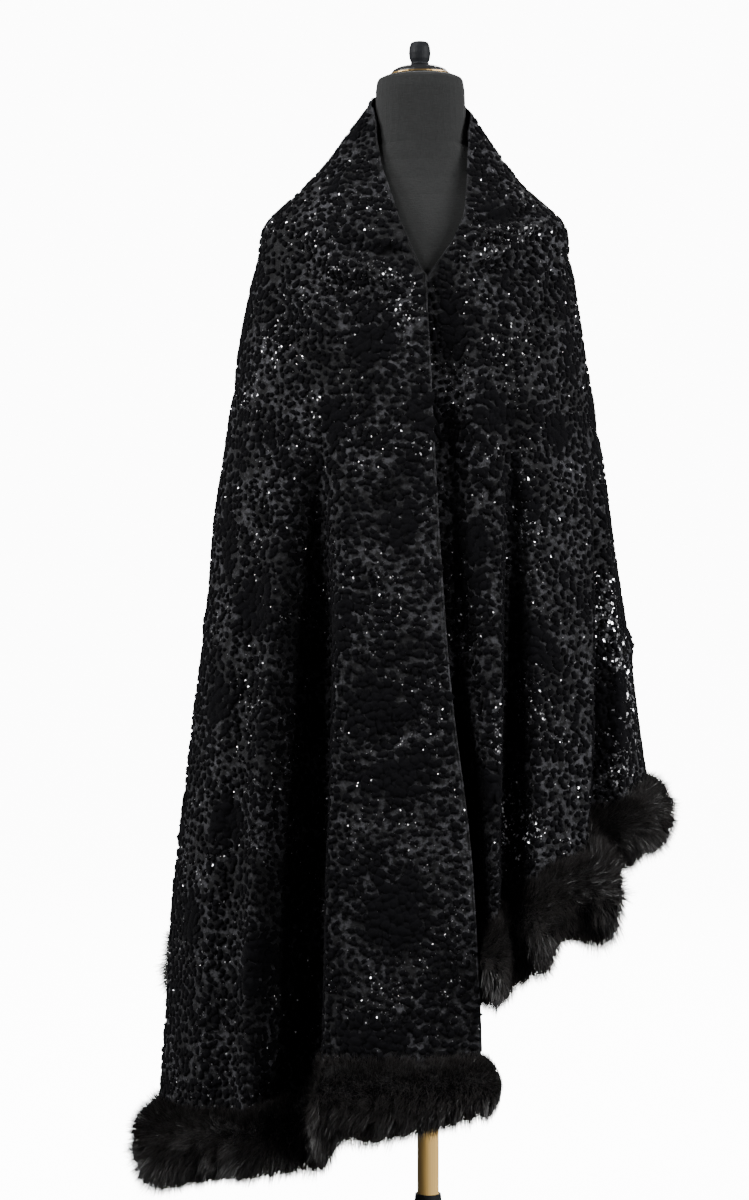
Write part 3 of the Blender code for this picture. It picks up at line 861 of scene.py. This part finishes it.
PILE_STRETCHES = (
    ("pile_over_front", 0.0, 60.0, 21),
    ("pile_over_back", 60.0, 180.0, 22),
    ("pile_under_back", 180.0, 290.0, 23),
    ("pile_under_front", 290.0, UNDER_EDGE, 24),
)
pile_pieces = [pads(*stretch) for stretch in PILE_STRETCHES]

# %% [markdown]
# ## Glints
#
# Between the spots the shiny threads of the ground catch the light in small hard points, in clusters
# where the cloth faces a lamp. Noise in the shader would make them crawl, so they are real: small
# flat flakes of thread that lie on the ground, each tilted a little its own way.

# %% Where they cluster
CLUSTERS = table(
    "azimuth height half_width half_height strength",
    (337.0, 0.584, 0.018, 0.036, 1.9),
    (341.7, 0.679, 0.013, 0.038, 1.3),
    (291.5, 0.80, 0.026, 0.07, 1.8),
    (288.0, 0.715, 0.03, 0.05, 2.0),
    (297.8, 0.665, 0.026, 0.05, 1.6),
    (322.0, 1.312, 0.06, 0.006, 1.4),
    (7.7, 1.22, 0.016, 0.04, 0.9),
    (18.5, 1.249, 0.034, 0.015, 1.0),
    (328.6, 0.977, 0.01, 0.051, 0.9),
    (52.9, 1.179, 0.028, 0.04, 0.5),
    (334.1, 1.294, 0.036, 0.012, 0.9),
    (63.7, 1.125, 0.026, 0.031, 0.4),
    (47.7, 1.305, 0.04, 0.028, 0.5),
    (329.4, 1.157, 0.038, 0.038, 0.6),
    (2.6, 1.03, 0.013, 0.018, 0.8),
    (25.3, 1.096, 0.018, 0.031, 0.4),
    (351.6, 0.824, 0.012, 0.051, 0.5),
    (14.4, 0.367, 0.036, 0.036, 0.15),
    (48.9, 0.726, 0.026, 0.077, 0.3),
    (9.4, 0.786, 0.022, 0.051, 0.3),
    (70.6, 0.472, 0.018, 0.077, 0.3),
    (330.4, 0.725, 0.018, 0.051, 0.6),
    (100.0, 0.90, 0.024, 0.06, 0.5),
    (118.0, 1.24, 0.034, 0.03, 0.5),
    (150.0, 0.85, 0.02, 0.06, 0.5),
    (176.0, 1.20, 0.034, 0.034, 0.5),
    (212.0, 0.88, 0.02, 0.06, 0.5),
    (238.0, 1.26, 0.034, 0.03, 0.5),
    (266.0, 0.90, 0.024, 0.06, 0.5),
)

# %% Flakes of shiny thread
glint = Finish("ground_glint", Roughness=0.30, Metallic=1.0)
glint.colour(glint.blend(glint.noise(50.0), (0.45, 0.45, 0.47), (0.85, 0.85, 0.88)))

FLAKE = 1.1 * MM
FLAKE_PITCH = 0.0048
FLAKE_SIDES = 5
FLAKE_LIFT = 0.6 * MM
FLAKE_TILT = 0.38
# the chance that a place has a flake: anywhere, in rough patches, and at the heart of a cluster
STRAY, ROUGH_ADDS, CLUSTER_ADDS = 0.035, 0.45, 0.70


def flakes(name, first, last, seed):
    random = np.random.default_rng(seed)
    girth, height, across, up = set_out(first, last, FLAKE_PITCH, FLAKE_PITCH, 0.5, seed).T
    rough = cloth_noise(across, up, 0.014)
    bright = np.zeros(len(girth))
    for cluster in CLUSTERS:
        away = how_far(girth, height, cluster)
        bright = np.maximum(bright, cluster.strength * (1.0 - ease(0.3, 1.8, away - 0.9 * (rough - 0.5))))
    chance = STRAY + ROUGH_ADDS * (cloth_noise(across, up, 0.03) > 0.60) * rough + CLUSTER_ADDS * bright
    keep = random.random(len(girth)) < chance
    girth, height, bright = girth[keep], height[keep], bright[keep][:, None]
    points, around, rise, out = cloth_at(girth, height)
    tilt = random.normal(0.0, FLAKE_TILT, (2, len(girth), 1))
    facing = unit(out + around * tilt[0] + rise * tilt[1])
    side = unit(np.cross(rise + around * random.normal(0.0, 0.8, (len(girth), 1)), facing))
    lift = np.cross(facing, side)
    half = FLAKE * random.uniform(0.35, 0.8, (len(girth), 1)) * (1.0 + 0.7 * bright)
    long = half * random.uniform(1.0, 2.2, (len(girth), 1))
    centre = points + out * FLAKE_LIFT
    turn = np.linspace(0.0, 2.0 * math.pi, FLAKE_SIDES, endpoint=False)
    corners = [centre + side * half * math.cos(t) + lift * long * math.sin(t) for t in turn]
    faces = [np.arange(len(girth) * FLAKE_SIDES).reshape(-1, FLAKE_SIDES)]
    return mesh_piece(name, np.stack(corners, axis=1).reshape(-1, 3), faces, glint)


glint_pieces = [flakes("glints_over", 0.0, 180.0, 31), flakes("glints_under", 180.0, UNDER_EDGE, 32)]

# %% [markdown]
# ## The turned edge
#
# The neckline and both fronts have no fur. The cloth is turned in narrowly there, which leaves a
# fine round line where the pile ends. It is a thin tube along the edge of the wall.

# %% Edge line
EDGE_RADIUS = 1.5 * MM
EDGE_SIDES = 8
EDGE_STEP = 0.006


def edge_tube(name, girth, height):
    walked = walk(cape_surface(swung(girth, height), height))
    places = np.linspace(0.0, walked[-1], int(walked[-1] / EDGE_STEP))
    girth, height = np.interp(places, walked, girth), np.interp(places, walked, height)
    points, _, _, out = cloth_at(girth, height)
    ahead = unit(np.gradient(points, axis=0))
    side = unit(np.cross(ahead, out))
    out = np.cross(side, ahead)
    centre = points - out * (GROUND_DEPTH + 0.5 * WALL)
    plump = EDGE_RADIUS * (1.0 + 0.15 * np.sin(places * 310.0) * np.sin(places * 97.0))[:, None]
    turn = np.linspace(0.0, 2.0 * math.pi, EDGE_SIDES, endpoint=False)
    rings = np.stack([centre + (side * math.cos(t) + out * math.sin(t)) * plump for t in turn], axis=1)
    return mesh_piece(name, rings.reshape(-1, 3), tube_faces(len(places), EDGE_SIDES), ground)


FALL_POINTS, NECK_POINTS = 400, 900


def edge_line(first, last):
    """Girths and heights up the front edge, which is the first girth, and on along the neckline."""
    neck = np.linspace(first, last, NECK_POINTS)[1:]
    fall = np.linspace(hem_height(np.array(first)), neck_height(np.array(first)), FALL_POINTS)
    return np.concatenate([np.full(FALL_POINTS, first), neck]), np.concatenate([fall, neck_height(neck)])


over_edge = edge_tube("edge_over", *edge_line(0.0, 180.0))
under_edge = edge_tube("edge_under", *(line[::-1] for line in edge_line(UNDER_EDGE, 180.0)))

# %% [markdown]
# ## The fur
#
# The trim is a long-haired pelt sewn on as a fat roll. Its outline comes from the tips of the hairs
# and its darkness from how densely they grow, so it is built the same way: a dark core, and tens of
# thousands of tapered hairs that leave it outward and fall over downward. They grow in tufts whose
# tips draw together. A hair system would do it too, but joined blades of mesh export as they stand.

# %% The fur's sizes and finishes
FUR_HALF_THICKNESS = 0.037
STEEPEST = 0.6
STEEP_DROP = 6.0
SEAM_GAP = 0.3 * MM
CLOTH_WALL = 2.0 * MM
FUR_END = 0.024
END_TURNS = np.array([0.45, 0.85, 1.2, 1.45])
HEM_COLUMNS = 44
FUR_SEAMS = (84.0, 300.0)

hair = Finish("fur_hair", Roughness=0.38, Specular_IOR_Level=0.55, Sheen_Weight=0.05, Sheen_Roughness=0.4)
lock = hair.ramp(hair.noise(420.0, detail=2.0), ((0.42, 0.0), (0.62, 1.0)))
hair.colour(hair.blend(lock * hair.noise(24.0, detail=3.0), (0.0028, 0.0026, 0.0027), (0.080, 0.071, 0.068)))

skin = Finish("fur_skin", Roughness=0.95)
skin.colour(skin.blend(skin.noise(40.0), (0.002, 0.002, 0.002), (0.006, 0.005, 0.005)))
skin.bump(skin.noise(300.0), 0.002)

# %% Lumps: how much taller, thicker and further out the roll is than its solid
LUMPS = table(
    "girth spread taller thicker outward",
    (2.0, 4.0, -0.08, 0.14, 0.0),
    (16.0, 7.0, 0.14, 0.10, 0.0),
    (26.0, 3.0, 0.12, 0.12, 0.0),
    (45.0, 7.0, -0.12, 0.00, 0.0),
    (76.0, 6.0, 0.06, 0.10, 0.0),
    (120.0, 9.0, 0.08, 0.08, 0.0),
    (158.0, 9.0, 0.08, 0.08, 0.0),
    (200.0, 9.0, 0.08, 0.08, 0.0),
    (243.0, 9.0, 0.08, 0.08, 0.0),
    (280.0, 7.0, 0.06, 0.06, 0.0),
    (297.0, 4.5, -0.16, 0.18, 0.0),
    (304.6, 2.6, -0.50, -0.26, 0.0),
    (315.4, 4.5, -0.04, 0.52, 0.029),
    (326.5, 2.2, -0.34, -0.24, 0.0),
    (333.0, 4.0, 0.00, 0.14, 0.0),
    (345.0, 3.0, -0.12, 0.04, 0.0),
)


def lumpy(girth, share):
    """The sum of one share of every lump at each girth."""
    return sum(getattr(lump, share) * np.exp(-(((girth - lump.girth) / lump.spread) ** 2)) for lump in LUMPS)


# %% The roll that the fur fills
ENVELOPE_RIGHT, ENVELOPE_LEFT, ENVELOPE_DEEP = 0.34, 0.31, 0.235
LOWERED = 0.6


def hem_line(girth):
    """Points of the cloth's lower edge, and the outward direction of the envelope at each."""
    height = hem_height(girth)
    azimuth = swung(girth, height)
    points = cape_surface(azimuth, height)
    turn = np.radians(azimuth)
    across = np.where(np.sin(turn) > 0.0, ENVELOPE_RIGHT, ENVELOPE_LEFT)
    out = np.stack([-np.sin(turn) / across, -np.cos(turn) / ENVELOPE_DEEP, np.zeros_like(turn)], axis=-1)
    return points, unit(out)


def fur_sections():
    """Girth, centre, outward direction, half height and half thickness, at points all round the hem."""
    over = even_girths(0.0, 180.0, HEM_COLUMNS)
    under = even_girths(180.0, UNDER_EDGE, HEM_COLUMNS)
    girths = np.concatenate([over, under[1:]])
    points, out = hem_line(girths)
    ahead = unit(np.gradient(points, axis=0))
    climb = np.minimum(np.abs(ahead[:, 2]), STEEPEST)
    inward = np.minimum(np.abs(np.sum(ahead * out, axis=1)), STEEPEST)
    tall = read_soft(HEM, "azimuth", "fur", girths, HEM_SPREAD) / np.sqrt(1.0 - climb**2)
    thick = FUR_HALF_THICKNESS / np.sqrt(1.0 - inward**2)
    centre = points - out * (0.5 * CLOTH_WALL)
    slope = np.abs(ahead[:, 2]) / np.hypot(ahead[:, 0], ahead[:, 1])
    centre[:, 2] -= tall + SEAM_GAP + STEEP_DROP * CLOTH_WALL * slope * np.abs(np.sum(ahead * out, axis=1))
    centre += out * lumpy(girths, "outward")[:, None]
    taller = lumpy(girths, "taller")
    centre[:, 2] -= tall * np.where(taller < 0.0, taller, LOWERED * taller)
    return girths, centre, out, tall * (1.0 + taller), thick * (1.0 + lumpy(girths, "thicker"))


fur_girths, fur_centre, fur_out, fur_tall, fur_thick = fur_sections()
right_seam, left_seam = (int(np.argmin(np.abs(fur_girths - seam))) for seam in FUR_SEAMS)
print("fur sections", len(fur_girths), "seams at", fur_girths[right_seam], fur_girths[left_seam])


def roll_between(first, last, ends):
    """The roll's sections from one column to another, carried on round each open end."""
    sections = [values[first : last + 1] for values in (fur_centre, fur_out, fur_tall, fur_thick)]
    for end in ends:
        way = -1 if end == "first" else 1
        sections = [values[::way] for values in sections]
        centre, out, tall, thick = (values[-1] for values in sections)
        away = centre - sections[0][-2]
        away = away * (1.0, 1.0, 0.0) / np.hypot(*away[:2])
        more = (
            centre + away * FUR_END * np.sin(END_TURNS)[:, None],
            np.repeat(out[None], len(END_TURNS), axis=0),
            tall * np.cos(END_TURNS),
            thick * np.cos(END_TURNS),
        )
        sections = [np.concatenate([values, extra])[::way] for values, extra in zip(sections, more)]
    return sections


# %% The core of the roll
CORE_SHARE = 0.76
CORE_SIDES = 16
CORE_STEP = 0.010
UP = np.array([0.0, 0.0, 1.0])


def along(values, share):
    """Values of a list of sections, read between them."""
    places = np.arange(len(values))
    if values.ndim == 1:
        return np.interp(share, places, values)
    return np.stack([np.interp(share, places, values[:, k]) for k in range(values.shape[1])], axis=-1)


def fur_core(name, centre, out, tall, thick):
    """The dark roll of skin under the hairs."""
    walked = walk(centre)
    steps = int(walked[-1] / CORE_STEP)
    share = np.interp(np.linspace(0.0, walked[-1], steps), walked, np.arange(len(walked)))
    turn = np.linspace(0.0, 2.0 * math.pi, CORE_SIDES, endpoint=False)
    high = along(tall, share)[:, None] * np.sin(turn) * CORE_SHARE
    wide = along(thick, share)[:, None] * np.cos(turn) * CORE_SHARE
    rings = along(centre, share)[:, None] + along(out, share)[:, None] * wide[..., None]
    rings = rings + UP * high[..., None]
    return mesh_piece(name, rings.reshape(-1, 3), tube_faces(steps, CORE_SIDES), skin)


# %% Hairs in tufts
ROOT_SHARE = 0.96 * CORE_SHARE
TUFT_HAIRS = 22
TUFT_SPREAD = 0.0042
ROLL_RADIUS = 0.035
GATHERED = 0.62
SWIRL, SWIRL_SIZE = 1.6, 0.06
LIFTED, COMBED, OUTWARD = 0.80, 0.60, 0.10
DROOP, DROOP_UNDER, DROOP_MOST = 0.42, 0.60, 0.52
TUFT_BEND, HAIR_BEND = 0.12, 0.07
HAIR_LENGTH, SHORTER_ABOVE = 0.38, 0.05
HAIR_WIDTH = 0.42 * MM


def hairs(name, centre, out, tall, thick, count, seed):
    """Hairs in tufts all over the roll, each one a tapered blade that is combed over and downward."""
    random = np.random.default_rng(seed)
    walked = walk(centre)
    ahead = unit(np.stack([np.gradient(centre[:, k], walked) for k in range(3)], axis=-1))

    def on_roll(place, turn):
        """The point of the core there, the ways ahead, outward and off it, and the roll's half height."""
        share = np.interp(place, walked, np.arange(len(walked)))
        outward = unit(along(out, share))
        high, wide = along(tall, share)[:, None], along(thick, share)[:, None]
        cosine, sine = np.cos(turn)[:, None], np.sin(turn)[:, None]
        point = along(centre, share) + (outward * wide * cosine + UP * high * sine) * ROOT_SHARE
        away = unit(outward * cosine / wide + UP * sine / high)
        return point, along(ahead, share), outward, away, high + wide

    tufts = count // TUFT_HAIRS
    place = np.repeat(random.uniform(0.0, walked[-1], tufts), TUFT_HAIRS)
    turn = np.repeat(random.uniform(0.0, 2.0 * math.pi, tufts), TUFT_HAIRS)
    count = len(place)
    stray = random.normal(0.0, TUFT_SPREAD, (2, count))
    stray[1] /= ROLL_RADIUS
    root = on_roll(np.clip(place + stray[0], 0.0, walked[-1]), turn + stray[1])[0]
    gathered = np.clip(place + GATHERED * stray[0], 0.0, walked[-1])
    top, forward, outward, away, across = on_roll(gathered, turn + GATHERED * stray[1])
    sine = np.sin(turn)[:, None]
    swirl = cloth_noise(place, turn * 0.03, SWIRL_SIZE)[:, None] - 0.5
    droop = np.clip(DROOP - DROOP_UNDER * sine, 0.0, DROOP_MOST)
    bent = np.repeat(random.normal(0.0, TUFT_BEND, (tufts, 3)), TUFT_HAIRS, axis=0)
    comb = forward * swirl * SWIRL - UP * droop + outward * OUTWARD
    loose = bent + random.normal(0.0, HAIR_BEND, (count, 3))
    long = np.repeat(random.uniform(-0.03, 0.05, (tufts, 1)), TUFT_HAIRS, axis=0)
    uneven = random.uniform(-0.11, 0.05, (count, 1))
    reach = 0.5 * across * (HAIR_LENGTH + long - SHORTER_ABOVE * sine + uneven)
    tip = top + (away * LIFTED + comb * COMBED + loose) * reach
    flat = unit(np.cross(tip - root, random.normal(0.0, 1.0, (count, 3))))
    width = HAIR_WIDTH * random.uniform(0.6, 1.4, (count, 1))
    points = np.stack([root - flat * width, root + flat * width, tip], axis=1).reshape(-1, 3)
    return mesh_piece(name, points, [np.arange(count * 3).reshape(-1, 3)], hair)


STRIPS = table(
    "name node first last ends hairs seed",
    ("fur_over", "fur_over_end", 0, right_seam, ("first",), 100000, 41),
    ("fur_round_back", "fur_back", right_seam, left_seam, (), 140000, 42),
    ("fur_under", "fur_under_end", left_seam, 2 * HEM_COLUMNS, ("last",), 98000, 43),
)
for strip in STRIPS:
    roll = roll_between(strip.first, strip.last, strip.ends)
    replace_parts(fur_core(strip.name + "_skin", *roll), strip.node)
    hairs(strip.name, *roll, strip.hairs, strip.seed)

# %% [markdown]
# ## The dress form and its stand
#
# The form is covered in close grey linen. Its neck ends in a black domed cap with a fine brass ring
# under it and a turned knob on top, and it stands on a pale varnished pole in a dark flared collar
# on a round foot. Their solids are already the right shapes, so each keeps its own and gets its
# finish.

# %% Linen
linen = Finish("grey_linen", Roughness=0.85, Sheen_Weight=0.10, Sheen_Roughness=0.5, Specular_IOR_Level=0.15)
warp = linen.noise(1.0, detail=2.0, at=linen.stretched((900.0, 900.0, 120.0)))
weft = linen.noise(1.0, detail=2.0, at=linen.stretched((120.0, 120.0, 1100.0)))
weave = warp * 0.5 + weft * 0.5
linen.colour(linen.blend(weave, (0.005, 0.005, 0.005), (0.031, 0.032, 0.032)))
linen.bump(weave, 0.0012)

# %% Stand finishes
enamel = Finish("cap_enamel", Roughness=0.3, Coat_Weight=0.3)
enamel.colour(enamel.blend(enamel.noise(30.0), (0.010, 0.010, 0.011), (0.018, 0.018, 0.020)))
enamel.bump(enamel.noise(400.0), 0.0001)

brass = Finish("brass_wire", Metallic=1.0)
brass.colour(brass.blend(brass.noise(120.0), (0.26, 0.16, 0.06), (0.42, 0.28, 0.12)))
brass.roughness(0.30 + 0.2 * brass.noise(60.0))

paint = Finish("dark_paint", Specular_IOR_Level=0.12)
paint.colour(paint.blend(paint.noise(40.0), (0.0095, 0.010, 0.0115), (0.016, 0.017, 0.020)))
paint.roughness(0.46 + 0.16 * paint.noise(90.0))
paint.bump(paint.noise(700.0), 0.0002)

wood = Finish("varnished_wood", Coat_Weight=0.25, Coat_Roughness=0.25)
grain = wood.noise(1.0, detail=5.0, at=wood.stretched((220.0, 220.0, 6.0)))
figure = wood.noise(1.0, detail=2.0, at=wood.stretched((40.0, 40.0, 3.0)))
tone = wood.blend(wood.ramp(grain, ((0.40, 0.0), (0.62, 1.0))), (0.66, 0.400, 0.108), (0.80, 0.505, 0.160))
wood.colour(wood.blend(figure, tone, (0.75, 0.470, 0.145)))
wood.roughness(0.36 + 0.2 * grain)
wood.bump(grain, 0.0002)

NODE_FINISHES = {
    "form_torso": linen,
    "neck_cap": enamel,
    "cap_ring": brass,
    "finial": paint,
    "pole": wood,
    "pole_collar": paint,
    "base_disc": paint,
}
for node, finish in NODE_FINISHES.items():
    node_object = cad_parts[node]
    for material_slot in node_object.material_slots:
        material_slot.material = finish.material
    print(node, "in", finish.material.name)
